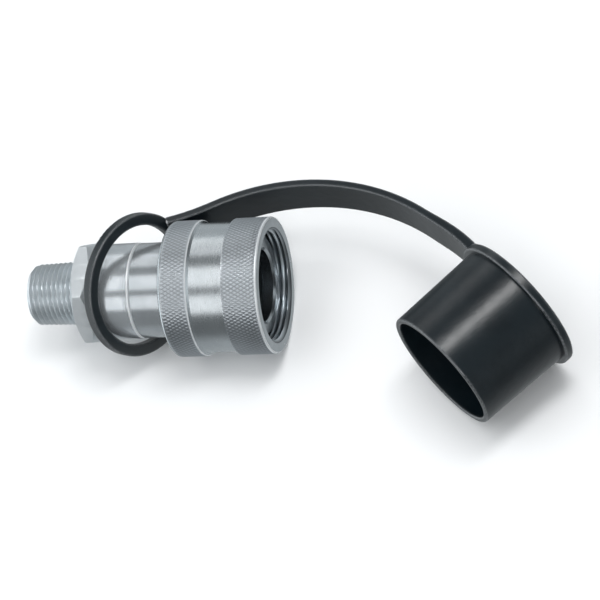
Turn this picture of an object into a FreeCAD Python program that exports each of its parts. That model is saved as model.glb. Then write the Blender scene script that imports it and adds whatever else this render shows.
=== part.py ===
import FreeCAD, Part
import math
import os

import Sketcher

# Hydraulic half coupler, the female half of a screw-together quick coupler.
# X runs along the coupler, from the face of the port thread towards the mouth.
# Z is up. The origin is on the coupler's axis, in the face of the port thread.
# The coupler lies on its sleeve, and the dust cap lies beside the mouth.

# Driving dimensions, in millimetres and degrees
SIZES = [
    ("thread_length", 15.4, "taper pipe thread, from the port face to the hexagon"),
    ("thread_end_radius", 8.53, "outside of the taper thread at the port face"),
    ("thread_taper", 0.03125, "growth of that radius for each millimetre"),
    ("thread_chamfer", 1.3, "chamfer on the first thread"),
    ("port_bore_radius", 5.25, "oil way through the port thread"),
    ("hex_across_flats", 27.0, "spanner size"),
    ("hex_length", 5.1, "hexagon along the axis"),
    ("hex_face_radius", 13.1, "circle where the corner chamfers meet the end faces"),
    ("hex_angle", 7.0, "turn of the hexagon about the axis, degrees"),
    ("barrel_proud", 0.15, "round barrel in front of the hexagon, proud of the neck"),
    ("barrel_length", 12.0, "barrel from the hexagon to the joint line"),
    ("barrel_chamfer", 0.45, "chamfer at the joint line"),
    ("spigot_radius", 10.4, "rear spigot of the coupler body"),
    ("spigot_length", 9.3, "spigot from the joint line into the barrel"),
    ("spigot_clearance", 0.06, "radial clearance of the spigot in the barrel"),
    ("stop_seat_radius", 9.3, "recess that holds the legs of the ball stop"),
    ("stop_seat_lip", 7.2, "inner edge of the shoulder behind those legs"),
    ("stop_thickness", 2.4, "legs of the ball stop along the axis"),
    ("stop_clearance", 0.1, "clearance round the legs of the ball stop"),
    ("stop_hub_radius", 5.3, "hub of the ball stop, which carries the spring"),
    ("stop_stem_radius", 2.4, "stem that ends the travel of the ball"),
    ("stop_leg_width", 3.6, "width of one leg"),
    ("port_cone_length", 2.4, "cone from the oil way to the shoulder"),
    ("chamber_radius", 8.0, "valve chamber in the coupler body"),
    ("neck_drop", 0.55, "neck of the coupler body below its nose"),
    ("neck_length", 16.4, "neck from the joint line to the thrust flange"),
    ("thrust_proud", 0.9, "thrust flange that the sleeve pulls on, proud of the nose"),
    ("thrust_length", 2.6, "thrust flange along the axis"),
    ("nose_room", 1.2, "room round the nose for the tube of the mating half"),
    ("nose_length", 16.4, "nose from the thrust flange to its front face"),
    ("nose_chamfer", 0.6, "chamfers of the nose"),
    ("socket_wall", 3.9, "wall of the nose round the socket"),
    ("socket_depth", 11.9, "socket from the front face"),
    ("seat_radius", 4.9, "hole through the valve seat"),
    ("seat_length", 2.4, "straight length of that hole"),
    ("seat_angle", 30.0, "angle of the seat cone from the axis, degrees"),
    ("ball_radius", 6.35, "valve ball"),
    ("ball_gap", 0.12, "ball behind its line of contact on the seat, along the axis"),
    ("ball_travel", 3.0, "travel of the ball to its stop"),
    ("spring_radius", 4.3, "mean radius of the valve spring"),
    ("spring_wire", 1.1, "wire of the valve spring"),
    ("spring_turns", 5.0, "turns of the valve spring"),
    ("spring_gap", 0.12, "end of the spring from the ball and from the hub"),
    ("seal_width", 2.0, "section of the socket O-ring"),
    ("seal_inset", 3.8, "front wall of the seal groove behind the nose face"),
    ("backup_width", 1.2, "anti-extrusion ring along the axis"),
    ("seal_clearance", 0.05, "clearance round the seals in their grooves"),
    ("joint_seal_width", 1.35, "section of the O-ring between barrel and spigot"),
    ("joint_seal_inset", 1.6, "front wall of its groove behind the joint line"),
    ("joint_seal_room", 0.4, "room beside it along that groove"),
    ("sleeve_radius", 19.0, "outside of the knurled bands"),
    ("sleeve_length", 28.4, "sleeve along the axis"),
    ("sleeve_reach", 3.1, "mouth of the sleeve in front of the nose face"),
    ("sleeve_round", 1.0, "rounding of the rear edge"),
    ("sleeve_face_chamfer", 0.45, "chamfer of the mouth's outer edge"),
    ("rear_band_length", 8.9, "rear knurled band, with its rounding and chamfer"),
    ("front_band_length", 10.3, "front knurled band"),
    ("band_depth", 0.9, "smooth band below the knurled bands"),
    ("rear_band_chamfer", 0.9, "chamfer from the rear band to the smooth band, along the axis"),
    ("front_band_chamfer", 0.25, "chamfer from the smooth band to the front band, along the axis"),
    ("sleeve_wall", 3.9, "wall of the sleeve outside the crests of its thread"),
    ("sleeve_clearance", 0.08, "radial running clearance on the neck"),
    ("sleeve_end_play", 0.12, "clearance of the inner flange on each side"),
    ("inner_flange_length", 3.6, "inner flange of the sleeve"),
    ("rear_recess_depth", 1.4, "recess round the neck that hides the retaining ring"),
    ("coupling_thread_length", 12.0, "coupling thread with its lead chamfer"),
    ("thread_lead", 1.0, "lead chamfer of the coupling thread"),
    ("relief_depth", 1.3, "relief behind the coupling thread"),
    ("ring_wire", 1.8, "wire of the retaining ring"),
    ("ring_groove_depth", 0.72, "groove for it in the neck"),
    ("ring_clearance", 0.02, "wire thinner than that groove"),
    ("ring_gap_angle", 24.0, "gap of the retaining ring, degrees"),
    ("tether_slack", 3.4, "room of the tether ring round the barrel"),
    ("tether_width", 3.4, "tether ring, radial width"),
    ("tether_thickness", 2.8, "tether ring, thickness"),
    ("tether_station", 31.2, "middle of the tether ring along the axis"),
    ("tether_side", 1.3, "middle of the tether ring beside the axis"),
    ("tether_rise", 1.2, "middle of the tether ring above the axis"),
    ("tether_lean_angle", 27.0, "lean of the tether ring from square, degrees"),
    ("tether_side_angle", 141.7, "side towards which its rear leans, degrees about X"),
    ("strap_width", 11.3, "strap of the dust cap, upright"),
    ("strap_thickness", 2.3, "strap of the dust cap"),
    ("strap_heading_angle", 13.5, "direction of the strap at the ring, degrees from X"),
    ("strap_swing_angle", 12.1, "turn of the strap away from the sleeve, degrees"),
    ("strap_swing_radius", 65.0, "radius of that turn"),
    ("strap_arch_angle", 62.9, "turn of the strap's arch, degrees"),
    ("strap_arch_radius", 59.8, "radius of the arch"),
    ("strap_run", 6.9, "straight run behind the arch"),
    ("strap_hook_angle", 12.7, "turn into the cap's flange, degrees"),
    ("strap_hook_radius", 50.0, "radius of that turn"),
    ("strap_growth", 0.7, "growth of the strap's outer side from the arch to the flange"),
    ("strap_root", 4.0, "run of the strap over the flange"),
    ("strap_setback", 2.0, "strap behind the middle of the flange at its rim"),
    ("strap_edge", 0.5, "rounded edges of strap, ring and flange"),
    ("cap_flange_angle", 6.3, "turn of the flange from the end of the strap, degrees"),
    ("cap_smaller", 0.6, "outside of the cap at its flange, smaller than the sleeve"),
    ("cap_draft", 0.6, "taper of the cap from its flange to its mouth"),
    ("cap_wall", 1.6, "wall of the dust cap"),
    ("cap_depth", 26.6, "dust cap from its mouth to the flange"),
    ("cap_flange_proud", 1.6, "flange of the dust cap, proud of the cap"),
    ("cap_flange_thickness", 2.5, "flange and end wall of the dust cap"),
]

# How near a worked-out edge has to be to the place where it is looked for
NEAR = 0.02


def put_sizes(doc):
    """Write the driving dimensions into a spreadsheet, one alias a row."""
    sheet = doc.addObject("Spreadsheet::Sheet", "Sizes")
    for row, (alias, number, meaning) in enumerate(SIZES, start=1):
        sheet.set(f"A{row}", meaning)
        sheet.set(f"B{row}", str(number))
        sheet.setAlias(f"B{row}", alias)
    doc.recompute()
    return sheet


def size(alias):
    return float(getattr(SHEET, alias))


def worked_out(expression):
    """The number that an expression over the sheet comes to."""
    return float(SHEET.evalExpression(expression))


# Radii, from the outside of the sleeve inwards, as expressions over the sheet
SLEEVE_THREAD = "(Sizes.sleeve_radius - Sizes.sleeve_wall)"
RELIEF = f"({SLEEVE_THREAD} + Sizes.relief_depth)"
NOSE = f"({SLEEVE_THREAD} - Sizes.nose_room)"
THRUST = f"({NOSE} + Sizes.thrust_proud)"
NECK = f"({NOSE} - Sizes.neck_drop)"
REAR_RECESS = f"({NECK} + Sizes.rear_recess_depth)"
BARREL = f"({NECK} + Sizes.barrel_proud)"
SOCKET = f"({NOSE} - Sizes.socket_wall)"
TETHER_INNER = f"({BARREL} + Sizes.tether_slack)"
CAP_BASE = "(Sizes.sleeve_radius - Sizes.cap_smaller)"
CAP_MOUTH = f"({CAP_BASE} - Sizes.cap_draft)"
CAP_FLANGE = f"({CAP_BASE} + Sizes.cap_flange_proud)"

# Stations along the axis, as expressions over the sheet
HEX_END = "(Sizes.thread_length + Sizes.hex_length)"
JOINT_LINE = f"({HEX_END} + Sizes.barrel_length)"
SPIGOT_END = f"({JOINT_LINE} - Sizes.spigot_length)"
STOP_SEAT = f"({SPIGOT_END} - Sizes.stop_thickness - 2 * Sizes.stop_clearance)"
STOP_REAR = f"({STOP_SEAT} + Sizes.stop_clearance)"
STOP_FRONT = f"({STOP_REAR} + Sizes.stop_thickness)"
THRUST_REAR = f"({JOINT_LINE} + Sizes.neck_length)"
THRUST_FRONT = f"({THRUST_REAR} + Sizes.thrust_length)"
NOSE_FACE = f"({THRUST_FRONT} + Sizes.nose_length)"
SOCKET_FLOOR = f"({NOSE_FACE} - Sizes.socket_depth)"
SEAT_FRONT = f"({SOCKET_FLOOR} - Sizes.seat_length)"
SEAT_REAR = f"({SEAT_FRONT} - (Sizes.chamber_radius - Sizes.seat_radius) / tan(Sizes.seat_angle))"
CONTACT_RADIUS = "(Sizes.ball_radius * cos(Sizes.seat_angle))"
CONTACT = f"({SEAT_FRONT} - ({CONTACT_RADIUS} - Sizes.seat_radius) / tan(Sizes.seat_angle))"
BALL_CENTRE = f"({CONTACT} - Sizes.ball_radius * sin(Sizes.seat_angle) - Sizes.ball_gap)"
BALL_REAR = f"({BALL_CENTRE} - Sizes.ball_radius)"
STEM_END = f"({BALL_REAR} - Sizes.ball_travel - Sizes.ball_gap)"
SEAL_FRONT = f"({NOSE_FACE} - Sizes.seal_inset)"
SEAL_GROOVE = "(Sizes.seal_width + Sizes.backup_width + 3 * Sizes.seal_clearance)"
SEAL_REAR = f"({SEAL_FRONT} - {SEAL_GROOVE})"
SEAL_FLOOR = f"({SOCKET} + Sizes.seal_width + 2 * Sizes.seal_clearance)"
JOINT_SEAL_FRONT = f"({JOINT_LINE} - Sizes.joint_seal_inset)"
JOINT_SEAL_GROOVE = "(Sizes.joint_seal_width + Sizes.joint_seal_room)"
JOINT_SEAL_REAR = f"({JOINT_SEAL_FRONT} - {JOINT_SEAL_GROOVE})"
BARREL_BORE = "(Sizes.spigot_radius + Sizes.spigot_clearance)"
JOINT_SEAL_FLOOR = f"({BARREL_BORE} - Sizes.joint_seal_width - 2 * Sizes.seal_clearance)"
MOUTH = f"({NOSE_FACE} + Sizes.sleeve_reach)"
SLEEVE_REAR = f"({MOUTH} - Sizes.sleeve_length)"
FLANGE_FRONT = f"({THRUST_REAR} - Sizes.sleeve_end_play)"
FLANGE_REAR = f"({FLANGE_FRONT} - Sizes.inner_flange_length)"
RING_STATION = f"({FLANGE_REAR} - Sizes.sleeve_end_play - Sizes.ring_wire / 2)"
RING_FLOOR = f"({NECK} - Sizes.ring_groove_depth)"


def plane(body, role):
    """One of a body's own origin planes or axes."""
    for feature in body.Origin.OriginFeatures:
        if feature.Role == role:
            return feature
    raise ValueError(role)


def new_sketch(body, name, role="XY_Plane"):
    sketch = body.newObject("Sketcher::SketchObject", name)
    sketch.AttachmentSupport = [(plane(body, role), "")]
    sketch.MapMode = "FlatFace"
    return sketch


def pin_point(sketch, index, station, radius):
    """Hold the start of line `index` at a station and a radius, both from the sheet."""
    for kind, expression in (("DistanceX", station), ("DistanceY", radius)):
        if expression == "0":
            axis = -2 if kind == "DistanceX" else -1
            sketch.addConstraint(Sketcher.Constraint("PointOnObject", index, 1, axis))
            continue
        number = worked_out(expression)
        added = sketch.addConstraint(Sketcher.Constraint(kind, -1, 1, index, 1, number))
        sketch.setExpression(f"Constraints[{added}]", expression)


def outline(body, name, points):
    """A closed sketch of straight lines, its corners given as (station, radius)."""
    sketch = new_sketch(body, name)
    corners = [FreeCAD.Vector(worked_out(x), worked_out(r), 0) for x, r in points]
    count = len(corners)
    for index in range(count):
        line = Part.LineSegment(corners[index], corners[(index + 1) % count])
        sketch.addGeometry(line, False)
    for index in range(count):
        joined = Sketcher.Constraint("Coincident", index, 2, (index + 1) % count, 1)
        sketch.addConstraint(joined)
    for index, (station, radius) in enumerate(points):
        pin_point(sketch, index, station, radius)
    return sketch


def turn(body, name, sketch, kind="Revolution", angle=360.0):
    """Turn a sketch about the coupler's axis."""
    feature = body.newObject(f"PartDesign::{kind}", name)
    feature.Profile = sketch
    feature.ReferenceAxis = (sketch, ["H_Axis"])
    feature.Angle = angle
    sketch.Visibility = False
    body.Document.recompute()
    return feature


def new_body(doc, label):
    body = doc.addObject("PartDesign::Body", label)
    body.Label = label
    return body


def circles_at(shape, middle, radius):
    """The shape's circular edges round a point, with the given radius."""
    found = []
    for edge in shape.Edges:
        curve = edge.Curve
        if not isinstance(curve, Part.Circle):
            continue
        if (curve.Center - middle).Length < NEAR and abs(curve.Radius - radius) < NEAR:
            found.append(edge)
    return found


def edge_names(shape, edges):
    """The names by which a feature refers to a shape's edges."""
    return [f"Edge{number}" for number, edge in enumerate(shape.Edges, start=1)
            if any(edge.isSame(wanted) for wanted in edges)]


def make_port_adapter(doc):
    """Port end: taper thread, hexagon and the barrel that the coupler body screws into."""
    body = new_body(doc, "port_adapter")
    thread_big = "(Sizes.thread_end_radius + Sizes.thread_taper * Sizes.thread_length)"
    chamfer_radius = "(Sizes.thread_end_radius + Sizes.thread_taper * Sizes.thread_chamfer)"
    shank = outline(body, "shank", [
        ("0", "0"),
        ("0", "Sizes.thread_end_radius - Sizes.thread_chamfer"),
        ("Sizes.thread_chamfer", chamfer_radius),
        ("Sizes.thread_length", thread_big),
        (HEX_END, thread_big),
        (HEX_END, BARREL),
        (f"{JOINT_LINE} - Sizes.barrel_chamfer", BARREL),
        (JOINT_LINE, f"{BARREL} - Sizes.barrel_chamfer"),
        (JOINT_LINE, "0"),
    ])
    turn(body, "turned_shank", shank)

    prism = body.newObject("PartDesign::AdditivePrism", "hexagon")
    prism.AttachmentSupport = [(plane(body, "YZ_Plane"), "")]
    prism.MapMode = "FlatFace"
    prism.Polygon = 6
    prism.setExpression("Circumradius", "Sizes.hex_across_flats / sqrt(3)")
    prism.setExpression("Height", "Sizes.hex_length")
    prism.AttachmentOffset = FreeCAD.Placement(
        FreeCAD.Vector(0, 0, size("thread_length")),
        FreeCAD.Rotation(FreeCAD.Vector(0, 0, 1), size("hex_angle")))
    prism.setExpression("AttachmentOffset.Base.z", "Sizes.thread_length")
    doc.recompute()

    beyond = "(Sizes.hex_across_flats / sqrt(3) + 1)"
    fall = f"(({beyond} - Sizes.hex_face_radius) * tan(30))"
    for name, face, inwards in (("rear", "Sizes.thread_length", "+"), ("front", HEX_END, "-")):
        wedge = outline(body, f"{name}_corner_wedge", [
            (face, "Sizes.hex_face_radius"),
            (face, beyond),
            (f"{face} {inwards} {fall}", beyond),
        ])
        turn(body, f"{name}_corners", wedge, "Groove")

    bore = outline(body, "bore", [
        ("0", "0"),
        ("0", "Sizes.port_bore_radius"),
        (f"{STOP_SEAT} - Sizes.port_cone_length", "Sizes.port_bore_radius"),
        (STOP_SEAT, "Sizes.stop_seat_lip"),
        (STOP_SEAT, "Sizes.stop_seat_radius"),
        (SPIGOT_END, "Sizes.stop_seat_radius"),
        (SPIGOT_END, BARREL_BORE),
        (JOINT_LINE, BARREL_BORE),
        (JOINT_LINE, "0"),
    ])
    turn(body, "bored", bore, "Groove")
    return body


def make_coupler_body(doc):
    """Middle piece: spigot, neck, thrust flange, nose with the socket, and valve seat."""
    body = new_body(doc, "coupler_body")
    spigot_rear = f"({SPIGOT_END} + Sizes.stop_clearance)"
    groove_front = f"({RING_STATION} + Sizes.ring_wire / 2)"
    groove_rear = f"({RING_STATION} - Sizes.ring_wire / 2)"
    section = outline(body, "section", [
        (spigot_rear, "Sizes.chamber_radius"),
        (spigot_rear, "Sizes.spigot_radius"),
        (JOINT_SEAL_REAR, "Sizes.spigot_radius"),
        (JOINT_SEAL_REAR, JOINT_SEAL_FLOOR),
        (JOINT_SEAL_FRONT, JOINT_SEAL_FLOOR),
        (JOINT_SEAL_FRONT, "Sizes.spigot_radius"),
        (JOINT_LINE, "Sizes.spigot_radius"),
        (JOINT_LINE, f"{NECK} - Sizes.barrel_chamfer / 2"),
        (f"{JOINT_LINE} + Sizes.barrel_chamfer / 2", NECK),
        (groove_rear, NECK),
        (groove_rear, RING_FLOOR),
        (groove_front, RING_FLOOR),
        (groove_front, NECK),
        (THRUST_REAR, NECK),
        (THRUST_REAR, THRUST),
        (THRUST_FRONT, THRUST),
        (THRUST_FRONT, NOSE),
        (f"{NOSE_FACE} - Sizes.nose_chamfer", NOSE),
        (NOSE_FACE, f"{NOSE} - Sizes.nose_chamfer"),
        (NOSE_FACE, f"{SOCKET} + Sizes.nose_chamfer"),
        (f"{NOSE_FACE} - Sizes.nose_chamfer", SOCKET),
        (SEAL_FRONT, SOCKET),
        (SEAL_FRONT, SEAL_FLOOR),
        (SEAL_REAR, SEAL_FLOOR),
        (SEAL_REAR, SOCKET),
        (SOCKET_FLOOR, SOCKET),
        (SOCKET_FLOOR, "Sizes.seat_radius"),
        (SEAT_FRONT, "Sizes.seat_radius"),
        (SEAT_REAR, "Sizes.chamber_radius"),
    ])
    turn(body, "turned_body", section)
    return body


def make_coupling_sleeve(doc):
    """Hand-turned sleeve: two knurled bands, a smooth band, thread bore and inner flange."""
    body = new_body(doc, "coupling_sleeve")
    bore = f"({NECK} + Sizes.sleeve_clearance)"
    low = "(Sizes.sleeve_radius - Sizes.band_depth)"
    rear_band = f"({SLEEVE_REAR} + Sizes.rear_band_length)"
    front_band = f"({MOUTH} - Sizes.front_band_length)"
    thread_rear = f"({MOUTH} - Sizes.coupling_thread_length)"
    section = outline(body, "section", [
        (SLEEVE_REAR, REAR_RECESS),
        (SLEEVE_REAR, "Sizes.sleeve_radius"),
        (f"{rear_band} - Sizes.rear_band_chamfer", "Sizes.sleeve_radius"),
        (rear_band, low),
        (front_band, low),
        (f"{front_band} + Sizes.front_band_chamfer", "Sizes.sleeve_radius"),
        (f"{MOUTH} - Sizes.sleeve_face_chamfer", "Sizes.sleeve_radius"),
        (MOUTH, "Sizes.sleeve_radius - Sizes.sleeve_face_chamfer"),
        (MOUTH, f"{SLEEVE_THREAD} + Sizes.thread_lead"),
        (f"{MOUTH} - Sizes.thread_lead", SLEEVE_THREAD),
        (thread_rear, SLEEVE_THREAD),
        (f"{thread_rear} - Sizes.relief_depth", RELIEF),
        (FLANGE_FRONT, RELIEF),
        (FLANGE_FRONT, bore),
        (FLANGE_REAR, bore),
        (FLANGE_REAR, REAR_RECESS),
    ])
    turned = turn(body, "turned_sleeve", section)
    rounding = body.newObject("PartDesign::Fillet", "rear_rounding")
    rear = FreeCAD.Vector(worked_out(SLEEVE_REAR), 0, 0)
    rear_edge = circles_at(turned.Shape, rear, size("sleeve_radius"))
    rounding.Base = (turned, edge_names(turned.Shape, rear_edge))
    rounding.setExpression("Radius", "Sizes.sleeve_round")
    doc.recompute()
    return body


def make_retaining_ring(doc):
    """Round-wire snap ring in the neck, hidden in the rear recess of the sleeve."""
    body = new_body(doc, "sleeve_retaining_ring")
    sketch = new_sketch(body, "wire_section")
    bend_radius = f"{RING_FLOOR} + Sizes.ring_wire / 2"
    middle = FreeCAD.Vector(worked_out(RING_STATION), worked_out(bend_radius), 0)
    wire = Part.Circle(middle, FreeCAD.Vector(0, 0, 1), size("ring_wire") / 2)
    sketch.addGeometry(wire, False)
    for kind, expression in (("DistanceX", RING_STATION), ("DistanceY", bend_radius)):
        constraint = Sketcher.Constraint(kind, -1, 1, 0, 3, worked_out(expression))
        added = sketch.addConstraint(constraint)
        sketch.setExpression(f"Constraints[{added}]", expression)
    added = sketch.addConstraint(Sketcher.Constraint("Diameter", 0, size("ring_wire")))
    sketch.setExpression(f"Constraints[{added}]", "Sizes.ring_wire - Sizes.ring_clearance")
    ring = turn(body, "bent_wire", sketch)
    ring.setExpression("Angle", "360 - Sizes.ring_gap_angle")
    doc.recompute()
    return body


def make_ball_stop(doc):
    """Ball stop: hub on four legs with oil ways between them, and the stem."""
    body = new_body(doc, "ball_stop")
    leg_radius = "(Sizes.stop_seat_radius - Sizes.stop_clearance)"
    section = outline(body, "section", [
        (STOP_REAR, "0"),
        (STOP_REAR, leg_radius),
        (STOP_FRONT, leg_radius),
        (STOP_FRONT, "Sizes.stop_stem_radius"),
        (STEM_END, "Sizes.stop_stem_radius"),
        (STEM_END, "0"),
    ])
    turn(body, "turned_stop", section)

    window = new_sketch(body, "oil_way", "YZ_Plane")
    front = FreeCAD.Vector(0, 0, worked_out(STOP_FRONT))
    window.AttachmentOffset = FreeCAD.Placement(front, FreeCAD.Rotation())
    window.setExpression("AttachmentOffset.Base.z", STOP_FRONT)
    inner = size("stop_hub_radius")
    outer = worked_out(BARREL)
    half_leg = math.degrees(math.asin(size("stop_leg_width") / 2 / inner))
    first = math.radians(half_leg)
    last = math.radians(90.0 - half_leg)
    middle = (first + last) / 2

    def spot(radius, angle):
        return FreeCAD.Vector(radius * math.cos(angle), radius * math.sin(angle), 0)

    for curve in (
            Part.Arc(spot(inner, first), spot(inner, middle), spot(inner, last)),
            Part.LineSegment(spot(inner, last), spot(outer, last)),
            Part.Arc(spot(outer, last), spot(outer, middle), spot(outer, first)),
            Part.LineSegment(spot(outer, first), spot(inner, first))):
        window.addGeometry(curve, False)
    cut = body.newObject("PartDesign::Pocket", "oil_way_cut")
    cut.Profile = window
    cut.setExpression("Length", "Sizes.stop_thickness")
    doc.recompute()
    pattern = body.newObject("PartDesign::PolarPattern", "oil_ways")
    pattern.Originals = [cut]
    pattern.Axis = (plane(body, "X_Axis"), [""])
    pattern.Angle = 360
    pattern.Occurrences = 4
    body.Tip = pattern
    doc.recompute()
    return body


def make_valve_ball(doc):
    ball = doc.addObject("Part::Sphere", "valve_ball")
    ball.setExpression("Radius", "Sizes.ball_radius")
    ball.Placement = FreeCAD.Placement(FreeCAD.Vector(worked_out(BALL_CENTRE), 0, 0), ALONG_X)
    ball.setExpression("Placement.Base.x", BALL_CENTRE)
    return ball


def make_valve_spring(doc):
    """Compression spring from the hub of the stop to the ball, its ends ground flat.

    Each half turn is half a ring, tilted to climb half a pitch across the coil."""
    rear = worked_out(STOP_FRONT) + size("spring_gap")
    wire = size("spring_wire") / 2
    radius = size("spring_radius")
    ball = size("ball_radius")
    front = worked_out(BALL_CENTRE) - math.sqrt(ball**2 - (radius - wire)**2) - size("spring_gap")
    rise = (front - rear) / size("spring_turns") / 2
    bend = math.hypot(radius, rise / 2)
    tilt = FreeCAD.Rotation(FreeCAD.Vector(0, 1, 0), math.degrees(math.atan2(rise / 2, radius)))
    halves = []
    for count in range(round(2 * size("spring_turns")) + 1):
        half = Part.makeTorus(bend, wire, FreeCAD.Vector(), FreeCAD.Vector(0, 0, 1), 0, 360, 180)
        side = FreeCAD.Rotation(FreeCAD.Vector(0, 0, 1), 180 * (count % 2))
        half.Placement = FreeCAD.Placement(FreeCAD.Vector(0, 0, count * rise), side.multiply(tilt))
        halves.append(half)
    coil = halves[0].fuse(halves[1:])
    ground = Part.makeCylinder(radius + 2 * wire, front - rear)
    spring = doc.addObject("Part::Feature", "valve_spring")
    spring.Shape = coil.common(ground).Solids[0]
    spring.Placement = FreeCAD.Placement(FreeCAD.Vector(rear, 0, 0), ALONG_X)
    return spring


def make_o_ring(doc, label, station, inner_radius, width):
    """Round rubber seal about the axis."""
    seal = doc.addObject("Part::Torus", label)
    seal.setExpression("Radius1", f"{inner_radius} + {width} / 2")
    seal.setExpression("Radius2", f"{width} / 2")
    seal.Placement = FreeCAD.Placement(FreeCAD.Vector(worked_out(station), 0, 0), ALONG_X)
    seal.setExpression("Placement.Base.x", station)
    return seal


def make_backup_ring(doc):
    """Flat anti-extrusion ring on the mouth side of the socket seal."""
    body = new_body(doc, "socket_backup_ring")
    front = f"({SEAL_FRONT} - Sizes.seal_clearance)"
    rear = f"({front} - Sizes.backup_width)"
    section = outline(body, "section", [
        (rear, f"{SOCKET} + Sizes.seal_clearance"),
        (rear, f"{SEAL_FLOOR} - Sizes.seal_clearance"),
        (front, f"{SEAL_FLOOR} - Sizes.seal_clearance"),
        (front, f"{SOCKET} + Sizes.seal_clearance"),
    ])
    turn(body, "flat_ring", section)
    return body


def tether_placement():
    """The tether ring's own frame: its middle, and its axis leaning from +X."""
    side = math.radians(size("tether_side_angle"))
    lean_about = FreeCAD.Vector(0, -math.sin(side), math.cos(side))
    lean = FreeCAD.Rotation(lean_about, size("tether_lean_angle"))
    middle = FreeCAD.Vector(size("tether_station"), size("tether_side"), size("tether_rise"))
    return FreeCAD.Placement(middle, lean.multiply(ALONG_X))


def heading_vector(heading):
    return FreeCAD.Vector(math.cos(heading), math.sin(heading), 0)


def strap_path():
    """The strap's middle line in plan, from the tether ring to the flange's rim.

    Returns its edges, its last point and its last heading in radians."""
    ring = tether_placement()
    axis = ring.Rotation.multVec(FreeCAD.Vector(0, 0, 1))
    level = cap_height() - ring.Base.z
    radius = worked_out(TETHER_INNER) + size("tether_width") / 2
    upright = FreeCAD.Vector(0, 0, 1) - axis * axis.z
    across = upright.cross(axis)
    across.normalize()
    upright.normalize()
    rise = level / upright.z
    out = math.sqrt(radius**2 - rise**2)
    root = ring.Base + across * out + upright * rise
    point = FreeCAD.Vector(root.x, root.y + size("strap_edge"), 0)
    heading = math.radians(size("strap_heading_angle"))
    edges = []
    for degrees, reach in (
            (size("strap_swing_angle"), size("strap_swing_radius")),
            (-size("strap_arch_angle"), size("strap_arch_radius")),
            (0.0, size("strap_run")),
            (-size("strap_hook_angle"), size("strap_hook_radius"))):
        turn_by = math.radians(degrees)
        if turn_by == 0.0:
            end = point + heading_vector(heading) * reach
            edges.append(Part.LineSegment(point, end).toShape())
        else:
            chord = 2 * reach * math.sin(abs(turn_by) / 2)
            half_chord = 2 * reach * math.sin(abs(turn_by) / 4)
            end = point + heading_vector(heading + turn_by / 2) * chord
            middle = point + heading_vector(heading + turn_by / 4) * half_chord
            edges.append(Part.Arc(point, middle, end).toShape())
        point = end
        heading += turn_by
    return edges, point, heading


def cap_height():
    """Height of the cap's axis: its flange rests on the plane that the sleeve rests on."""
    return worked_out(CAP_FLANGE) - size("sleeve_radius")


def left_of(edge, point):
    """Unit normal on the left of a plan edge that runs from the ring to the cap."""
    along = edge.tangentAt(edge.Curve.parameter(point))
    return FreeCAD.Vector(-along.y, along.x, 0)


def strap_side(edges, offsets):
    """One side of the strap: its middle line moved to the left, by (first, last) of each edge."""
    side = []
    for edge, (at_first, at_last) in zip(edges, offsets):
        low, high = edge.ParameterRange
        spots = []
        for share in (0.0, 0.5, 1.0):
            point = edge.valueAt(low + share * (high - low))
            offset = at_first + share * (at_last - at_first)
            spots.append(point + left_of(edge, point) * offset)
        if isinstance(edge.Curve, Part.Line):
            side.append(Part.LineSegment(spots[0], spots[2]).toShape())
        else:
            side.append(Part.Arc(*spots).toShape())
    return side


def make_strap_shape():
    """The strap: its plan outline, raised to its width, ending in a ramp on the flange."""
    edges, rim, heading = strap_path()
    tip = rim + heading_vector(heading) * size("strap_root")
    edges.append(Part.LineSegment(rim, tip).toShape())
    half = size("strap_thickness") / 2
    grown = half + size("strap_growth")
    halfway = (half + grown) / 2
    outer = strap_side(edges, [
        (half, half), (half, half), (half, halfway), (halfway, grown), (grown, -half)])
    inner = strap_side(edges, [(-half, -half)] * len(edges))
    root_end = Part.LineSegment(inner[0].firstVertex().Point, outer[0].firstVertex().Point)
    loop = Part.Wire(Part.__sortEdges__([root_end.toShape()] + outer + inner))
    low = cap_height() - size("strap_width") / 2
    face = Part.Face(loop)
    face.translate(FreeCAD.Vector(0, 0, low))
    strap = face.extrude(FreeCAD.Vector(0, 0, size("strap_width")))
    long_edges = []
    for edge in strap.Edges:
        level = edge.BoundBox.ZLength < NEAR
        if level and edge.Length > size("strap_run") - NEAR:
            long_edges.append(edge)
    return strap.makeFillet(size("strap_edge"), long_edges)


def make_cap_shape():
    """The cup of the dust cap with its flange, about its own axis Z, mouth at 0."""
    wall = size("cap_wall")
    mouth = worked_out(CAP_MOUTH)
    base = worked_out(CAP_BASE)
    flange = worked_out(CAP_FLANGE)
    depth = size("cap_depth")
    top = depth + size("cap_flange_thickness")
    corners = [
        (mouth - wall, 0), (mouth, 0), (base, depth), (flange, depth),
        (flange, top), (0, top), (0, depth), (base - wall, depth),
    ]
    loop = Part.makePolygon([FreeCAD.Vector(r, 0, z) for r, z in corners + corners[:1]])
    cup = Part.Face(loop).revolve(FreeCAD.Vector(), FreeCAD.Vector(0, 0, 1), 360)
    rims = []
    for radius, height in ((mouth - wall, 0), (mouth, 0), (flange, depth), (flange, top)):
        rims += circles_at(cup, FreeCAD.Vector(0, 0, height), radius)
    return cup.makeFillet(size("strap_edge"), rims)


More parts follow.
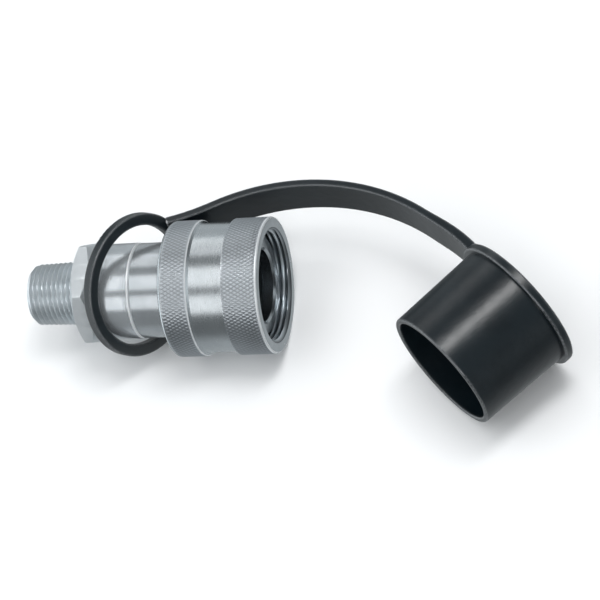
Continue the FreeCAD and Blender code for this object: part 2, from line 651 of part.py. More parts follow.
def make_dust_cap(doc):
    """Dust cap, strap and tether ring, one rubber moulding."""
    ring_frame = tether_placement()
    inner = worked_out(TETHER_INNER)
    outer = inner + size("tether_width")
    thick = size("tether_thickness")
    base = FreeCAD.Vector(0, 0, -thick / 2)
    ring = Part.makeCylinder(outer, thick, base).cut(Part.makeCylinder(inner, thick, base))
    rims = [edge for edge in ring.Edges if isinstance(edge.Curve, Part.Circle)]
    ring = ring.makeFillet(size("strap_edge"), rims)
    ring.Placement = ring_frame

    edges, rim, heading = strap_path()
    inwards = heading_vector(heading + math.radians(size("cap_flange_angle")))
    towards_mouth = FreeCAD.Vector(inwards.y, -inwards.x, 0)
    reach = size("cap_depth") + size("cap_flange_thickness") / 2 + size("strap_setback")
    mouth = rim + inwards * worked_out(CAP_FLANGE) + towards_mouth * reach
    mouth.z = cap_height()
    cup = make_cap_shape()
    turned_to = FreeCAD.Rotation(FreeCAD.Vector(0, 0, 1), towards_mouth * -1)
    cup.Placement = FreeCAD.Placement(mouth, turned_to)

    strap = make_strap_shape()
    far = 2 * outer
    behind_ring = Part.makeCylinder(far, far, FreeCAD.Vector(0, 0, size("strap_edge") - thick / 2 - far))
    behind_ring.Placement = ring_frame
    strap = strap.cut(behind_ring)
    moulding = ring.fuse([strap, cup]).removeSplitter()
    cap = doc.addObject("Part::Feature", "dust_cap")
    cap.Shape = moulding.Solids[0]
    cap.Placement = FreeCAD.Placement()
    return cap


def check(doc, nodes):
    """Stop if any object failed, or if a piece is not one valid solid."""
    for obj in doc.Objects:
        if "Invalid" in obj.State or "Error" in obj.State:
            raise RuntimeError(f"{obj.Name} failed: {obj.State}")
    for node in nodes:
        shape = node.Shape
        if shape.isNull() or not shape.isValid() or len(shape.Solids) != 1:
            raise RuntimeError(f"{node.Label} is not one valid solid")


ALONG_X = FreeCAD.Rotation(FreeCAD.Vector(0, 0, 1), FreeCAD.Vector(1, 0, 0))
DOC = FreeCAD.newDocument("hydraulic_half_coupler")
SHEET = put_sizes(DOC)

NODES = [
    make_port_adapter(DOC),
    make_coupler_body(DOC),
    make_coupling_sleeve(DOC),
    make_retaining_ring(DOC),
    make_ball_stop(DOC),
    make_valve_ball(DOC),
    make_valve_spring(DOC),
    make_o_ring(DOC, "joint_o_ring", f"{JOINT_SEAL_REAR} + {JOINT_SEAL_GROOVE} / 2",
                f"({JOINT_SEAL_FLOOR} + Sizes.seal_clearance)", "Sizes.joint_seal_width"),
    make_o_ring(DOC, "socket_o_ring", f"{SEAL_REAR} + Sizes.seal_clearance + Sizes.seal_width / 2",
                f"({SOCKET} + Sizes.seal_clearance)", "Sizes.seal_width"),
    make_backup_ring(DOC),
    make_dust_cap(DOC),
]
DOC.recompute()
check(DOC, NODES)

os.makedirs("parts", exist_ok=True)
for node in NODES:
    node.Shape.exportStep(f"parts/{node.Label}.step")
    volume = node.Shape.Volume
    centre = node.Shape.Solids[0].CenterOfMass
    print(f"{node.Label}: {volume:.0f} mm3, centre {centre.x:.1f} {centre.y:.1f} {centre.z:.1f}")
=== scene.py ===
"""Looks of the hydraulic half coupler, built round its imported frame.

X runs along the coupler towards the mouth of its sleeve, and Z is up. The shapes are worked out in
millimetres; the places of camera and lights, and all that goes to Blender, are in metres.
"""

import math

import bpy
import numpy as np
from mathutils import Matrix, Vector


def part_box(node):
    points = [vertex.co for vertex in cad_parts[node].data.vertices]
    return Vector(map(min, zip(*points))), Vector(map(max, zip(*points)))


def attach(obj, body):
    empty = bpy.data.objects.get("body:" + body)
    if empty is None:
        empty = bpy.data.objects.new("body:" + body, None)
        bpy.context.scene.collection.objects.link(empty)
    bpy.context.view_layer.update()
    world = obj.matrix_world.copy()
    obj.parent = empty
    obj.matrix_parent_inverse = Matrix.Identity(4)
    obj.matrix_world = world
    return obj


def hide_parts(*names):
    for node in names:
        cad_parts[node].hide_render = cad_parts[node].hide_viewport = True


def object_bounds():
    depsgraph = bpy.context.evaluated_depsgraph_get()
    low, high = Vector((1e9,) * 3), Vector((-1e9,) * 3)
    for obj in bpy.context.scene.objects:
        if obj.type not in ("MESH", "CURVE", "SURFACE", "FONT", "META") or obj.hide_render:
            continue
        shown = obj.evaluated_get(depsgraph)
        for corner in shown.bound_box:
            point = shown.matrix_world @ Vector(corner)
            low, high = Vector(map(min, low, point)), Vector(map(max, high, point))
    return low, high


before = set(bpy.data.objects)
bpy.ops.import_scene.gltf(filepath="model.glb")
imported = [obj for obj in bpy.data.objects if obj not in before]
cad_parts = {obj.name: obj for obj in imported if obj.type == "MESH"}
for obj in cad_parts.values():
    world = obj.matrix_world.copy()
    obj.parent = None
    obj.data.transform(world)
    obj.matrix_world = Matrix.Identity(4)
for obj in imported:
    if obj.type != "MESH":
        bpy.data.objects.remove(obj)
cad_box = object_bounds()

MM = 0.001

# Camera, set at the photograph's angle
CAMERA_PLACE = Vector((258.6, -345.0, 536.1)) * MM
CAMERA_RIGHT = Vector((0.961, 0.113, -0.251))
CAMERA_UP = Vector((0.038, 0.850, 0.526))
CAMERA_LENS = 144.2
CAMERA_SENSOR = 36.0
CAMERA_NEAR = 0.01
CAMERA_FAR = 20.0

# Floor
FLOOR_Z = cad_box[0][2]
FLOOR_HALF = 3.0
FLOOR_COLOR = (0.86, 0.87, 0.88, 1.0)
FLOOR_ROUGHNESS = 0.9
FLOOR_SPECULAR = 0.1

# Stations along the axis
HEX_REAR = 15.4
HEX_FRONT = 20.5
JOINT_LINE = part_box("port_adapter")[1][0] / MM
SLEEVE_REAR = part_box("coupling_sleeve")[0][0] / MM
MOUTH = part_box("coupling_sleeve")[1][0] / MM

# Steps in a rounded front edge and in the sleeve's rear edge
EDGE_STEPS = 4
REAR_STEPS = 5

# Taper pipe thread, right-handed; crest and root are the flat shares of half a turn
PIPE_PITCH = 1.411
PIPE_DEPTH = 0.98
PIPE_CREST = 0.08
PIPE_ROOT = 0.05
PIPE_END_RADIUS = 8.53
PIPE_TAPER = 1 / 32
PIPE_FACE_RADIUS = 7.23
PIPE_ROWS_PER_TURN = 16
PIPE_RUNOUT_TURNS = 0.8

# Inside of the port adapter: oil way, seat of the ball stop and bore for the body's spigot
PORT_BORE = 5.25
PORT_CHAMFER = 0.5
PORT_MIDDLE = 9.0
PORT_CONE_REAR = 18.2
STOP_SEAT = 20.6
STOP_SEAT_LIP = 7.2
STOP_SEAT_RADIUS = 9.3
SPIGOT_END = 23.2
SPIGOT_BORE = 10.46

# Hexagon and barrel; angles in degrees
ADAPTER_COLUMNS = 192
HEX_FLAT = 13.5
HEX_FACE_RADIUS = 13.1
HEX_TURN = 7.0
HEX_CHAMFER_ANGLE = 30
HEX_CORNER_ROUND = 0.12
HEX_CORNER_POWER = 24
BARREL_RADIUS = 13.5
BARREL_ROUND = 0.65
BARREL_START = HEX_FRONT + 0.6
BARREL_RINGS = 5

# Outside of the sleeve; each knurled band has its start, its end and the run-out of its grooves
SLEEVE_RADIUS = 19.0
SMOOTH_RADIUS = 18.1
REAR_ROUND = 1.0
REAR_BAND_END = 51.5
REAR_BAND_CHAMFER = 0.9
FRONT_BAND_START = 60.7
FRONT_BAND_CHAMFER = 0.25
MOUTH_ROUND = 0.5
# Width of the strip at the rear band's front edge that carries a painted highlight
HIGHLIGHT_STRIP = 0.3
REAR_KNURL = (SLEEVE_REAR + REAR_ROUND, REAR_BAND_END - REAR_BAND_CHAMFER, 0.4)
FRONT_KNURL = (FRONT_BAND_START + FRONT_BAND_CHAMFER, MOUTH - MOUTH_ROUND, 0.3)

# Knurl
KNURL_COUNT = 110
KNURL_PERIOD = 1.88
KNURL_DEPTH = 0.18
KNURL_STEEPNESS = 3.0
KNURL_COLUMNS = 6
KNURL_ROWS_PER_PERIOD = 6

# Inside of the sleeve: coupling thread, relief, inner flange and recess behind it
COUPLING_PITCH = 1.59
COUPLING_DEPTH = 0.9
COUPLING_CREST = 0.2
COUPLING_ROOT = 0.1
COUPLING_MINOR = 15.1
COUPLING_REAR = 59.0
COUPLING_LEAD = 1.0
COUPLING_ROWS_PER_TURN = 10
RELIEF_FRONT = COUPLING_REAR - 1.3
RELIEF_RADIUS = 16.4
FLANGE_FRONT = 48.78
FLANGE_REAR = 45.18
FLANGE_BORE = 13.43
RECESS_RADIUS = 14.75

# Angles between faces, in degrees, from which an edge is shaded sharp
ADAPTER_SHARP = 28
SLEEVE_SHARP = 32

# Where a face's finish changes: stations round the hexagon, and radii on the sleeve
THREAD_FACES_END = HEX_REAR - 0.01
HEX_FACES_END = HEX_FRONT + 0.1
INSIDE_BELOW = COUPLING_MINOR + COUPLING_DEPTH + 0.5
OUTSIDE_ABOVE = SLEEVE_RADIUS - 0.5

# World: its level, its colour, and ramps with the axis, start, end and rise of their strength
WORLD_LEVEL = 0.17
WORLD_COLOR = (0.92, 0.975, 1.0, 1.0)
WORLD_RAMPS = (
    ("Z", -0.5, -0.8, 0.28),
    ("X", -0.6, -0.9, 1.3),
    ("X", 0.86, 0.95, 0.9),
    ("Y", 0.75, 0.88, 0.35),
)

# Soft boxes over the coupler: angle and spread in degrees, middle and length in metres, radiance
LIGHT_DISTANCE = 0.9
COUPLER_BOXES = (
    ("rear_box", -46, 39, -0.31, 0.24, 1.1),
    ("top_box", 13.5, 35, -0.315, 0.37, 1.35),
    ("front_box", 61.5, 33, -0.315, 0.37, 1.35),
)

# Soft boxes for the cap and for the edges: place, target, width and length in metres, radiance,
# and the direction of their length
OTHER_BOXES = (
    ("cap_box", (0.286, 0.063, 0.88), (0.13, -0.02, 0), 0.19, 0.45, 10.5, (0.69, 0.72, 0)),
    ("edge_box", (0.32, -0.73, 0.45), (0.04, 0, 0), 0.22, 0.3, 6.0, (1, 0, 0)),
)

# Fill light, in metres
FILL_MIDDLE = 0.06
FILL_HEIGHT = 1.5
FILL_WIDTH = 2.5
FILL_RADIANCE = 1.1

# Metals: darker and lighter tone, roughness, metallic share and strength of the turning lines
METALS = {
    "zinc_plated": ((0.54, 0.58, 0.61), (0.64, 0.68, 0.71), (0.17, 0.24), 0.76, 0.12),
    "sleeve_plated": ((0.57, 0.61, 0.635), (0.64, 0.68, 0.705), (0.22, 0.3), 1.0, 0.05),
    "satin_plated": ((0.69, 0.73, 0.755), (0.79, 0.83, 0.855), (0.38, 0.46), 0.75, 0.12),
    # A painted highlight on rounded and chamfered edges: lighter, rougher and less metallic than
    # the plating
    "highlighted_edge": ((0.68, 0.71, 0.73), (0.78, 0.81, 0.83), (0.4, 0.5), 0.45, 0.05),
    "thread_cut": ((0.64, 0.68, 0.705), (0.74, 0.78, 0.805), (0.3, 0.4), 0.9, 0.12),
    # The dark tones of the two cuts below are painted shade in their grooves; the inner cut's
    # light tone is a painted highlight on the thread's crests
    "knurl_cut": ((0.16, 0.175, 0.19), (0.64, 0.68, 0.72), (0.3, 0.4), 1.0, 0.12),
    "inner_cut": ((0.13, 0.15, 0.165), (0.83, 0.88, 0.92), (0.26, 0.34), 1.0, 0.05),
    "spring_wire": ((0.25, 0.26, 0.27), (0.34, 0.35, 0.36), (0.3, 0.4), 1.0, 0.12),
    "plain_steel": ((0.3, 0.3, 0.31), (0.4, 0.4, 0.41), (0.25, 0.38), 1.0, 0.12),
    "polished_ball": ((0.6, 0.61, 0.62), (0.66, 0.67, 0.68), (0.08, 0.12), 1.0, 0.12),
    "body_steel": ((0.45, 0.485, 0.51), (0.53, 0.565, 0.59), (0.18, 0.25), 0.76, 0.05),
}

# Metals with painted shade by the distance from the axis: dark at the radius of their grooves
# and light at that of their crests; the inner thread's light crests are a painted highlight
CUT_PAINTED_LIGHT = {
    "knurl_cut": (SLEEVE_RADIUS - KNURL_DEPTH, SLEEVE_RADIUS),
    "inner_cut": (COUPLING_MINOR + COUPLING_DEPTH, COUPLING_MINOR + 0.1),
}

# Millimetres over which the body's metallic share rises to full, a painted shade from the sleeve's
# rear inwards
SHADE_STRETCH = 2.0

# Noise for tones and turning lines: scales in features a metre, height in metres; the tones run
# from dark to light between two values of the noise
TONE_DETAIL = 6.0
TONE_LIMITS = (0.35, 0.7)
STEEL_TONE_SCALE = 160.0
BUMP_DETAIL = 4.0
LINES_SCALE = 900.0
LINES_STRETCH = (6.0, 0.25, 0.25)
LINES_HEIGHT = 0.0004

# Rubbers and plastic, with their roughness
RUBBERS = {
    "cap_rubber": (0.27, 0.34),
    "seal_rubber": (0.3, 0.4),
    "backup_plastic": (0.4, 0.5),
}
RUBBER_DARK = (0.0028, 0.0062, 0.0088)
RUBBER_LIGHT = (0.0052, 0.0102, 0.0138)
RUBBER_TONE_SCALE = 90.0
RUBBER_SPECULAR = 0.6
GRAIN_SCALE = 420.0
GRAIN_STRENGTH = 0.18
GRAIN_STRETCH = (1, 1, 1)
GRAIN_HEIGHT = 0.0003

# Painted highlights on the cap's rubber edges, in a paler colour: reach of the rays in
# millimetres, their number, and the free shares of them at which the paler tone starts and is full
EDGE_REACH = 0.7
EDGE_RAYS = 8
EDGE_LIMITS = (0.89, 0.62)
EDGE_HIGHLIGHT_TONE = (0.4, 0.415, 0.43, 1.0)

# A colour mix's sockets, which share their names with its other kinds
MIX_FIRST, MIX_SECOND, MIX_RESULT = 6, 7, 2

# Finishes of the pieces, in the order of their slots, and of the CAD nodes
ADAPTER_FINISHES = ("zinc_plated", "satin_plated", "thread_cut", "highlighted_edge")
SLEEVE_FINISHES = ("sleeve_plated", "knurl_cut", "inner_cut", "highlighted_edge")
NODE_FINISHES = {
    "coupler_body": "body_steel",
    "sleeve_retaining_ring": "spring_wire",
    "ball_stop": "plain_steel",
    "valve_ball": "polished_ball",
    "valve_spring": "spring_wire",
    "joint_o_ring": "seal_rubber",
    "socket_o_ring": "seal_rubber",
    "socket_backup_ring": "backup_plastic",
    "dust_cap": "cap_rubber",
}


def add_object(name, data):
    obj = bpy.data.objects.new(name, data)
    bpy.context.scene.collection.objects.link(obj)
    return obj


def put(obj, place, right, up, back):
    """Places an object by its own three directions."""
    turn = Matrix((right, up, back)).transposed()
    obj.matrix_world = Matrix.Translation(place) @ turn.to_4x4()


def lathe(name, profile, angles):
    """Closed skin from a closed profile, whose rows are (station, radius).

    A radius is one number, or one for each angle."""
    rows, columns = len(profile), len(angles)
    points = np.empty((rows, columns, 3))
    for row, (station, radius) in enumerate(profile):
        points[row, :, 0] = station
        points[row, :, 1] = radius * np.cos(angles)
        points[row, :, 2] = radius * np.sin(angles)
    here = np.arange(rows * columns).reshape(rows, columns)
    along = np.roll(here, -1, axis=0)
    around = np.roll(here, -1, axis=1)
    both = np.roll(along, -1, axis=1)
    faces = np.stack([here, along, both, around], axis=-1).reshape(-1, 4)
    mesh = bpy.data.meshes.new(name)
    mesh.from_pydata((points.reshape(-1, 3) * MM).tolist(), [], faces.tolist())
    mesh.validate()
    mesh.update()
    return add_object(name, mesh)


def smooth_but_sharp(obj, degrees):
    """Smooth shading with hard edges where the faces turn by more than an angle."""
    obj.data.shade_smooth()
    obj.data.set_sharp_from_angle(angle=math.radians(degrees))


def column_angles(columns, first=0.0):
    return first + np.arange(columns) * (2 * math.pi / columns)


def thread_height(station, angles, pitch, crest, root):
    """Height of a right-handed thread between root 0 and crest 1."""
    turn = (station / pitch - angles / (2 * math.pi)) % 1.0
    away = np.abs(turn - 0.5) * 2
    return np.clip(1 - (away - crest) / (1 - crest - root), 0.0, 1.0)


def rounded_edge(station, radius, size):
    """Rows of a rounded front edge, from the outside to the face."""
    rows = []
    for k in range(1, EDGE_STEPS + 1):
        turn = math.radians(90 * k / EDGE_STEPS)
        along = station - size * (1 - math.sin(turn))
        rows.append((along, radius - size * (1 - math.cos(turn))))
    return rows


def pipe_thread_rows(angles):
    """Rows of the taper thread, from the port face to the hexagon."""
    step = PIPE_PITCH / PIPE_ROWS_PER_TURN
    rows = [(0.0, PIPE_FACE_RADIUS)]
    for k in range(1, int(HEX_REAR / step) + 1):
        station = k * step
        outside = PIPE_END_RADIUS + PIPE_TAPER * station
        fade = min(1.0, (HEX_REAR - station) / (PIPE_PITCH * PIPE_RUNOUT_TURNS))
        height = thread_height(station, angles, PIPE_PITCH, PIPE_CREST, PIPE_ROOT)
        radius = outside - PIPE_DEPTH * (1 - height) * max(fade, 0.0)
        chamfer = PIPE_FACE_RADIUS + station
        rows.append((station, np.minimum(radius, chamfer)))
    rows.append((HEX_REAR, PIPE_END_RADIUS + PIPE_TAPER * HEX_REAR))
    return rows


def hexagon_radius(angles):
    """Radius of a hexagon with slightly rounded corners."""
    sector = math.pi / 3
    from_flat = (angles - math.radians(HEX_TURN)) % sector - sector / 2
    corner = (np.abs(from_flat) / (sector / 2)) ** HEX_CORNER_POWER
    return HEX_FLAT / np.cos(from_flat) - HEX_CORNER_ROUND * corner


def make_port_adapter():
    angles = column_angles(ADAPTER_COLUMNS, math.radians(HEX_TURN))
    corner = hexagon_radius(angles)
    chamfer = (corner - HEX_FACE_RADIUS) * math.tan(math.radians(HEX_CHAMFER_ANGLE))
    profile = pipe_thread_rows(angles)
    profile += [
        (HEX_REAR, HEX_FACE_RADIUS),
        (HEX_REAR + chamfer, corner),
        (HEX_FRONT - chamfer, corner),
        (HEX_FRONT, BARREL_RADIUS),
    ]
    for station in np.linspace(BARREL_START, JOINT_LINE - BARREL_ROUND, BARREL_RINGS):
        profile.append((station, BARREL_RADIUS))
    profile += rounded_edge(JOINT_LINE, BARREL_RADIUS, BARREL_ROUND)
    profile += [
        (JOINT_LINE, SPIGOT_BORE),
        (SPIGOT_END, SPIGOT_BORE),
        (SPIGOT_END, STOP_SEAT_RADIUS),
        (STOP_SEAT, STOP_SEAT_RADIUS),
        (STOP_SEAT, STOP_SEAT_LIP),
        (PORT_CONE_REAR, PORT_BORE),
        (PORT_MIDDLE, PORT_BORE),
        (PORT_CHAMFER, PORT_BORE),
        (0.0, PORT_BORE + PORT_CHAMFER),
    ]
    adapter = lathe("threaded_port_adapter", profile, angles)
    smooth_but_sharp(adapter, ADAPTER_SHARP)
    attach(adapter, "coupler")
    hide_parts("port_adapter")
    return adapter


def knurl_height(station, angles):
    """Diamond pyramids between two families of helical grooves, 0 to 1."""
    around = KNURL_COUNT * angles / (2 * math.pi)
    along = station / KNURL_PERIOD
    first = np.abs(((around + along) % 1.0) - 0.5) * 2
    second = np.abs(((around - along) % 1.0) - 0.5) * 2
    return 1 - np.maximum(first, second)


def knurled_rows(start, end, runout, angles):
    """Rows of a knurled band; the grooves run out over a short stretch at both ends."""
    step = KNURL_PERIOD / KNURL_ROWS_PER_PERIOD
    count = int(round((end - start) / step))
    rows = []
    for k in range(count + 1):
        station = start + (end - start) * k / count
        depth = KNURL_DEPTH * min(1.0, (station - start) / runout, (end - station) / runout)
        cut = 1 - np.minimum(1.0, knurl_height(station, angles) * KNURL_STEEPNESS)
        rows.append((station, SLEEVE_RADIUS - depth * cut))
    return rows


def coupling_thread_rows(angles):
    """Rows of the inside thread, from the mouth inwards."""
    step = COUPLING_PITCH / COUPLING_ROWS_PER_TURN
    rows = []
    for k in range(int((MOUTH - COUPLING_REAR) / step) + 1):
        station = MOUTH - k * step
        height = thread_height(station, angles, COUPLING_PITCH, COUPLING_CREST, COUPLING_ROOT)
        fade = min(1.0, (station - COUPLING_REAR) / COUPLING_PITCH)
        radius = COUPLING_MINOR + COUPLING_DEPTH * (1 - height * fade)
        lead = COUPLING_MINOR + COUPLING_LEAD - (MOUTH - station)
        rows.append((station, np.maximum(radius, lead)))
    return rows


def make_sleeve():
    angles = column_angles(KNURL_COUNT * KNURL_COLUMNS)
    profile = [(SLEEVE_REAR, RECESS_RADIUS), (SLEEVE_REAR, SLEEVE_RADIUS - REAR_ROUND)]
    for k in range(1, REAR_STEPS):
        turn = math.radians(90 * k / REAR_STEPS)
        station = SLEEVE_REAR + REAR_ROUND * (1 - math.cos(turn))
        profile.append((station, SLEEVE_RADIUS - REAR_ROUND * (1 - math.sin(turn))))
    profile += knurled_rows(*REAR_KNURL, angles)
    profile += [
        (REAR_KNURL[1] + HIGHLIGHT_STRIP, SLEEVE_RADIUS - HIGHLIGHT_STRIP),
        (REAR_BAND_END, SMOOTH_RADIUS),
        (FRONT_BAND_START, SMOOTH_RADIUS),
    ]
    profile += knurled_rows(*FRONT_KNURL, angles)
    profile += rounded_edge(MOUTH, SLEEVE_RADIUS, MOUTH_ROUND)
    profile += coupling_thread_rows(angles)
    profile += [
        (RELIEF_FRONT, RELIEF_RADIUS),
        (FLANGE_FRONT, RELIEF_RADIUS),
        (FLANGE_FRONT, FLANGE_BORE),
        (FLANGE_REAR, FLANGE_BORE),
        (FLANGE_REAR, RECESS_RADIUS),
    ]
    sleeve = lathe("knurled_sleeve", profile, angles)
    smooth_but_sharp(sleeve, SLEEVE_SHARP)
    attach(sleeve, "sleeve")
    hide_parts("coupling_sleeve")
    return sleeve


def make_camera():
    back = CAMERA_RIGHT.cross(CAMERA_UP).normalized()
    right = CAMERA_UP.cross(back).normalized()
    data = bpy.data.cameras.new("camera")
    data.lens = CAMERA_LENS
    data.sensor_width = CAMERA_SENSOR
    data.clip_start = CAMERA_NEAR
    data.clip_end = CAMERA_FAR
    camera = add_object("camera", data)
    put(camera, CAMERA_PLACE, right, back.cross(right), back)
    bpy.context.scene.camera = camera


class Nodes:
    """The node tree of a material or world, with short ways to add to it."""

    def __init__(self, owner):
        owner.use_nodes = True
        self.tree = owner.node_tree

    def __getitem__(self, name):
        return self.tree.nodes[name]

    def feed(self, socket, value):
        """Links a socket to another one, or gives it a number, vector or colour."""
        if isinstance(value, bpy.types.NodeSocket):
            self.tree.links.new(value, socket)
        else:
            socket.default_value = value

    def add(self, kind, inputs, **settings):
        """A new node, with what goes into its inputs by name, and its settings."""
        node = self.tree.nodes.new(kind)
        for name, value in settings.items():
            setattr(node, name, value)
        for name, value in inputs.items():
            self.feed(node.inputs[name], value)
        return node

    def place(self, kind="Object"):
        """Coordinates that go with the object, or the direction in the world."""
        return self.add("ShaderNodeTexCoord", {}).outputs[kind]

    def spread(self, value, start, end, low, high):
        """A value between start and end, spread from low to high and held there beyond them."""
        limits = {"From Min": start, "From Max": end, "To Min": low, "To Max": high}
        return self.add("ShaderNodeMapRange", {"Value": value, **limits}).outputs["Result"]

    def tones(self, value, dark, light, limits=(0.0, 1.0)):
        """Colours from dark to light as a value goes from the first limit to the second."""
        ramp = self.add("ShaderNodeValToRGB", {"Fac": value})
        for element, position, tone in zip(ramp.color_ramp.elements, limits, (dark, light)):
            element.position = position
            element.color = (*tone, 1.0)
        return ramp.outputs["Color"]


def make_floor():
    material = bpy.data.materials.new("floor_paper")
    shader = Nodes(material)["Principled BSDF"]
    shader.inputs["Base Color"].default_value = FLOOR_COLOR
    shader.inputs["Roughness"].default_value = FLOOR_ROUGHNESS
    shader.inputs["Specular IOR Level"].default_value = FLOOR_SPECULAR
    corners = [(-1, -1), (1, -1), (1, 1), (-1, 1)]
    points = [(x * FLOOR_HALF, y * FLOOR_HALF, FLOOR_Z) for x, y in corners]
    mesh = bpy.data.meshes.new("floor")
    mesh.from_pydata(points, [], [(0, 1, 2, 3)])
    mesh.materials.append(material)
    floor = add_object("floor", mesh)
    floor.visible_glossy = False


def make_world():
    """Dim studio, lighter below, behind and past both ends, as the metal shows it."""
    world = bpy.data.worlds.new("studio")
    nodes = Nodes(world)
    direction = nodes.add("ShaderNodeSeparateXYZ", {"Vector": nodes.place("Generated")})
    strength, *others = [
        nodes.spread(direction.outputs[axis], start, end, 0.0, rise)
        for axis, start, end, rise in WORLD_RAMPS]
    for other in (*others, WORLD_LEVEL):
        total = nodes.add("ShaderNodeMath", {})
        nodes.feed(total.inputs[0], strength)
        nodes.feed(total.inputs[1], other)
        strength = total.outputs["Value"]
    background = nodes["Background"]
    nodes.feed(background.inputs["Color"], WORLD_COLOR)
    nodes.feed(background.inputs["Strength"], strength)
    bpy.context.scene.world = world


def area_light(name, place, target, width, length, radiance, along=(1, 0, 0)):
    """A soft box that faces its target, its length along the coupler or as given."""
    data = bpy.data.lights.new(name, "AREA")
    data.shape = "RECTANGLE"
    data.size = length
    data.size_y = width
    data.energy = radiance * math.pi * width * length
    light = add_object(name, data)
    place = Vector(place)
    back = (place - Vector(target)).normalized()
    along = Vector(along)
    along = (along - back * along.dot(back)).normalized()
    put(light, place, along, back.cross(along), back)
    return light


def light_at(name, angle, spread, middle, length, radiance):
    """A soft box round the axis: its middle and spread in degrees from overhead.

    Positive angles lean towards the camera's side."""
    turn = math.radians(angle)
    width = 2 * LIGHT_DISTANCE * math.tan(math.radians(spread) / 2)
    place = (middle, -LIGHT_DISTANCE * math.sin(turn), LIGHT_DISTANCE * math.cos(turn))
    area_light(name, place, (middle, 0, 0), width, length, radiance)


def make_fill():
    """Large soft overhead light for the floor and the dull surfaces, not seen in the metal."""
    place = (FILL_MIDDLE, 0.0, FILL_HEIGHT)
    target = (FILL_MIDDLE, 0, 0)
    fill = area_light("fill", place, target, FILL_WIDTH, FILL_WIDTH, FILL_RADIANCE)
    fill.visible_glossy = False


def cloudy_tones(nodes, scale, dark, light):
    """Tones that vary over the surface in soft clouds."""
    clouds = {"Vector": nodes.place(), "Scale": scale, "Detail": TONE_DETAIL}
    noise = nodes.add("ShaderNodeTexNoise", clouds)
    return nodes.tones(noise.outputs["Fac"], dark, light, TONE_LIMITS)


def painted_light_by_radius(nodes, groove_radius, crest_radius, dark, light):
    """Painted shade by the distance from the sleeve's axis, dark in a cut's grooves and light on
    its crests.
    """
    across = nodes.add("ShaderNodeVectorMath", {}, operation="MULTIPLY")
    nodes.feed(across.inputs[0], nodes.place())
    nodes.feed(across.inputs[1], (0, 1, 1))
    distance = nodes.add("ShaderNodeVectorMath", {}, operation="LENGTH")
    nodes.feed(distance.inputs[0], across.outputs["Vector"])
    share = nodes.spread(
        distance.outputs["Value"], groove_radius * MM, crest_radius * MM, 0.0, 1.0)
    return nodes.tones(share, dark, light)


def uneven(nodes, scale, stretch, strength, height, roughness):
    """Fine uneven surface, stretched as the tool or the mould left it, and its roughness."""
    shader = nodes["Principled BSDF"]
    mapping = nodes.add("ShaderNodeMapping", {"Vector": nodes.place(), "Scale": stretch})
    grain = {"Vector": mapping.outputs["Vector"], "Scale": scale, "Detail": BUMP_DETAIL}
    noise = nodes.add("ShaderNodeTexNoise", grain).outputs["Fac"]
    relief = {"Height": noise, "Strength": strength, "Distance": height}
    nodes.feed(shader.inputs["Normal"], nodes.add("ShaderNodeBump", relief).outputs["Normal"])
    nodes.feed(shader.inputs["Roughness"], nodes.spread(noise, 0.0, 1.0, *roughness))


def turned_steel(name, dark, light, roughness, metallic, lines):
    """Steel with fine turning lines round the axis."""
    material = bpy.data.materials.new(name)
    nodes = Nodes(material)
    shader = nodes["Principled BSDF"]
    # Cuts get painted shade in their grooves and light on their crests, by the distance from the
    # axis
    if name in CUT_PAINTED_LIGHT:
        color = painted_light_by_radius(nodes, *CUT_PAINTED_LIGHT[name], dark, light)
    else:
        color = cloudy_tones(nodes, STEEL_TONE_SCALE, dark, light)
    nodes.feed(shader.inputs["Base Color"], color)
    nodes.feed(shader.inputs["Metallic"], metallic)
    uneven(nodes, LINES_SCALE, LINES_STRETCH, lines, LINES_HEIGHT, roughness)
    return material


def shade_inside(material):
    """Plating outside; from the sleeve's rear to the nose a painted shade, as the metallic share
    rises to full.
    """
    nodes = Nodes(material)
    metallic = nodes["Principled BSDF"].inputs["Metallic"]
    parts = nodes.add("ShaderNodeSeparateXYZ", {"Vector": nodes.place()})
    start, end = SLEEVE_REAR * MM, (SLEEVE_REAR + SHADE_STRETCH) * MM
    plated = metallic.default_value
    nodes.feed(metallic, nodes.spread(parts.outputs["X"], start, end, plated, 1.0))


def moulded_rubber(name, roughness):
    material = bpy.data.materials.new(name)
    nodes = Nodes(material)
    shader = nodes["Principled BSDF"]
    color = cloudy_tones(nodes, RUBBER_TONE_SCALE, RUBBER_DARK, RUBBER_LIGHT)
    nodes.feed(shader.inputs["Base Color"], color)
    shader.inputs["Specular IOR Level"].default_value = RUBBER_SPECULAR
    uneven(nodes, GRAIN_SCALE, GRAIN_STRETCH, GRAIN_STRENGTH, GRAIN_HEIGHT, roughness)
    return material


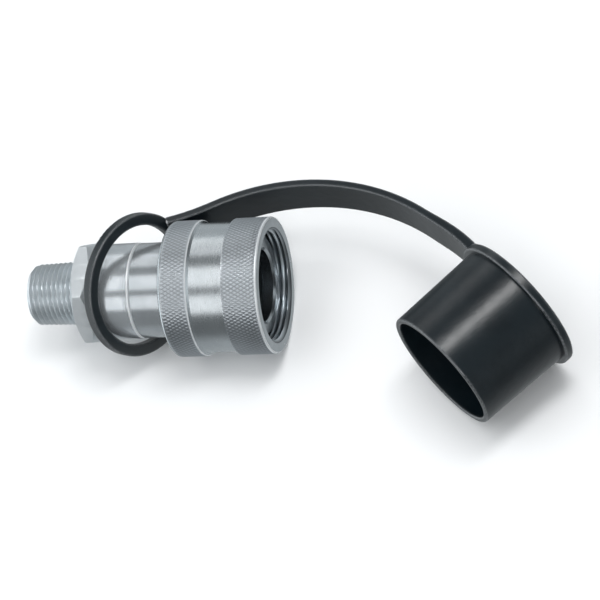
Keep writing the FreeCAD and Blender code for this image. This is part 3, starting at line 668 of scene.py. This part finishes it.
def paint_edge_highlights(material):
    """Painted highlight: a paler colour at the edges, where what lies close below the surface is
    outside again.
    """
    nodes = Nodes(material)
    color = nodes["Principled BSDF"].inputs["Base Color"]
    near = nodes.add(
        "ShaderNodeAmbientOcclusion", {"Distance": EDGE_REACH * MM}, inside=True,
        only_local=True, samples=EDGE_RAYS)
    edge = nodes.spread(near.outputs["AO"], *EDGE_LIMITS, 0.0, 1.0)
    mix = nodes.add("ShaderNodeMix", {"Factor": edge}, data_type="RGBA")
    nodes.feed(mix.inputs[MIX_FIRST], color.links[0].from_socket)
    nodes.feed(mix.inputs[MIX_SECOND], EDGE_HIGHLIGHT_TONE)
    nodes.feed(color, mix.outputs[MIX_RESULT])


def adapter_finish(station, _radius):
    """Cut thread, satin hexagon and a painted highlight on the rounded front edge of the plated
    adapter.
    """
    if station < THREAD_FACES_END:
        return "thread_cut"
    if station < HEX_FACES_END:
        return "satin_plated"
    if station > JOINT_LINE - BARREL_ROUND:
        return "highlighted_edge"
    return "zinc_plated"


def sleeve_finish(station, radius):
    """Cut thread and knurled bands, with painted shade in their grooves; painted highlights on the
    thread's crests and on the edges at the rear band and the mouth.
    """
    if radius < INSIDE_BELOW:
        return "inner_cut"
    if radius < OUTSIDE_ABOVE:
        return "sleeve_plated"
    if any(start < station < end for start, end, _ in (REAR_KNURL, FRONT_KNURL)):
        return "knurl_cut"
    strip_start = REAR_KNURL[1]
    if strip_start < station < strip_start + HIGHLIGHT_STRIP or station > MOUTH - MOUTH_ROUND:
        return "highlighted_edge"
    return "sleeve_plated"


def paint(piece, slots, palette, choose):
    """Gives a piece the materials of its slots, and each face the one that is chosen for it."""
    for name in slots:
        piece.data.materials.append(palette[name])
    for face in piece.data.polygons:
        station = face.center.x / MM
        radius = math.hypot(face.center.y, face.center.z) / MM
        face.material_index = slots.index(choose(station, radius))


def dress(node, material):
    """Gives a CAD node its material, in every slot that it has."""
    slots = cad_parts[node].data.materials
    if not slots:
        slots.append(material)
    for index in range(len(slots)):
        slots[index] = material


make_camera()
make_floor()
make_world()
for box in COUPLER_BOXES:
    light_at(*box)
for box in OTHER_BOXES:
    area_light(*box)
make_fill()

materials = {name: turned_steel(name, *look) for name, look in METALS.items()}
materials.update({name: moulded_rubber(name, look) for name, look in RUBBERS.items()})
shade_inside(materials["body_steel"])
paint_edge_highlights(materials["cap_rubber"])

paint(make_port_adapter(), ADAPTER_FINISHES, materials, adapter_finish)
paint(make_sleeve(), SLEEVE_FINISHES, materials, sleeve_finish)
for node, name in NODE_FINISHES.items():
    dress(node, materials[name])

bpy.context.scene.view_settings.view_transform = "Standard"
